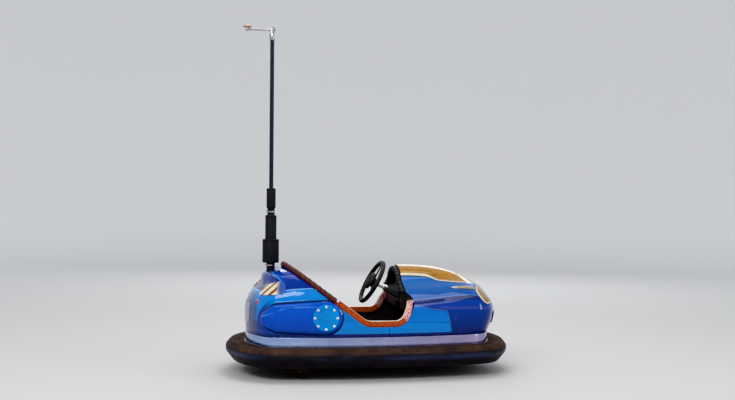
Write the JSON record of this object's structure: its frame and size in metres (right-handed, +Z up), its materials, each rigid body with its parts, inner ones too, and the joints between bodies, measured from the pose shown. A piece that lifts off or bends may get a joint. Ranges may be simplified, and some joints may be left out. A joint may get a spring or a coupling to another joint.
{
  "type": "fairground bumper car",
  "caption": "Two-seat fairground bumper car with a rubber bumper ring, a moulded blue body, a steered drive unit in front and a current pole behind.",
  "frame": {"origin": "on the floor, under the middle of the bumper's length and width", "axes": "+X forwards, +Y to the rider's left, +Z up along the current pole"},
  "size_m": [1.9496, 1.14, 2.351],
  "materials": {
    "frame_steel": "satin",
    "floor_steel": "satin",
    "band_steel": "satin",
    "bumper_rubber": "matte",
    "polished_skirt": "polished",
    "blue_gelcoat": "gloss",
    "red_trim": "satin",
    "maroon_vinyl": "satin",
    "seat_box": "matte",
    "seat_vinyl": "satin",
    "black_plastic": "matte",
    "black_vinyl": "satin",
    "cast_pedal": "cast",
    "cover_plastic": "satin",
    "lamp_lens": "gloss",
    "tail_lens": "gloss",
    "white_plate": "gloss",
    "light_blue_plastic": "gloss",
    "striped_panel": "gloss",
    "machined_steel": "machined",
    "sleeve_rubber": "matte",
    "pole_paint": "gloss",
    "wheel_rubber": "satin",
    "pad_rubber": "satin",
    "cast_grey": "cast",
    "motor_paint": "satin",
    "tyre_rubber": "matte",
    "copper_contact": "worn"
  },
  "bodies": {
    "root": {"chassis_frame": "frame_steel", "frame_hoop": "frame_steel", "floor_plate": "floor_steel", "bumper_band": "band_steel", "bumper_ring": "bumper_rubber", "kick_skirt": "polished_skirt", "front_body": "blue_gelcoat", "rear_body": "blue_gelcoat", "opening_trims": "red_trim", "seat_back_roll": "maroon_vinyl", "seat_base": "seat_box", "seat_cushion": "seat_vinyl", "seat_backrest": "seat_vinyl", "dash_panel": "black_plastic", "cowl_pad": "black_vinyl", "column_tube": "frame_steel", "pedal": "cast_pedal", "motor_cover": "cover_plastic", "headlamps": "lamp_lens", "grille_inserts": "black_plastic", "tail_lamps": "tail_lens", "tail_plate": "white_plate", "side_discs": "light_blue_plastic", "quarter_vents": "striped_panel", "turntable_ring": "machined_steel", "rear_brackets": "frame_steel", "rear_axle": "machined_steel", "pole_sleeve": "sleeve_rubber", "pole_tube": "pole_paint"},
    "steering": {"steering_wheel": "wheel_rubber", "steering_pad": "pad_rubber", "steering_shaft": "machined_steel"},
    "drive_unit": {"drive_turntable": "cast_grey", "drive_fork": "cast_grey", "drive_motor": "motor_paint"},
    "drive_wheel": {"drive_hub": "cast_grey", "drive_tyre": "tyre_rubber"},
    "rear_wheel_left": {"rear_hub_left": "cast_grey", "rear_tyre_left": "tyre_rubber"},
    "rear_wheel_right": {"rear_hub_right": "cast_grey", "rear_tyre_right": "tyre_rubber"},
    "collector_swivel": {"collector_head": "machined_steel"},
    "collector_arm": {"collector_arm": "machined_steel", "contact_shoe": "copper_contact"}
  },
  "joints": [
    {"name": "steering_turn", "type": "hinge", "parent": "root", "child": "steering", "pos_m": [0.43, 0, 0.388], "axis": [-0.8746, 0, 0.4848], "continuous": true},
    {"name": "drive_steer", "type": "hinge", "parent": "root", "child": "drive_unit", "pos_m": [0.43, 0, 0], "axis": [0, 0, 1], "continuous": true},
    {"name": "drive_spin", "type": "hinge", "parent": "drive_unit", "child": "drive_wheel", "pos_m": [0.43, 0, 0.1], "axis": [0, 1, 0], "continuous": true},
    {"name": "rear_left_spin", "type": "hinge", "parent": "root", "child": "rear_wheel_left", "pos_m": [-0.5, 0.298, 0.082], "axis": [0, 1, 0], "continuous": true},
    {"name": "rear_right_spin", "type": "hinge", "parent": "root", "child": "rear_wheel_right", "pos_m": [-0.5, -0.298, 0.082], "axis": [0, 1, 0], "continuous": true},
    {"name": "collector_turn", "type": "hinge", "parent": "root", "child": "collector_swivel", "pos_m": [-0.676, 0, 2.326], "axis": [0, 0, 1], "continuous": true},
    {"name": "collector_tilt", "type": "hinge", "parent": "collector_swivel", "child": "collector_arm", "pos_m": [-0.676, 0, 2.326], "axis": [0, 1, 0], "range_deg": [-18, 22], "stiffness_Nm_per_rad": 3, "springref_deg": 9.74}
  ],
  "couplings": [
    {"joint": "steering_turn", "follows": "drive_steer", "ratio": 1}
  ]
}
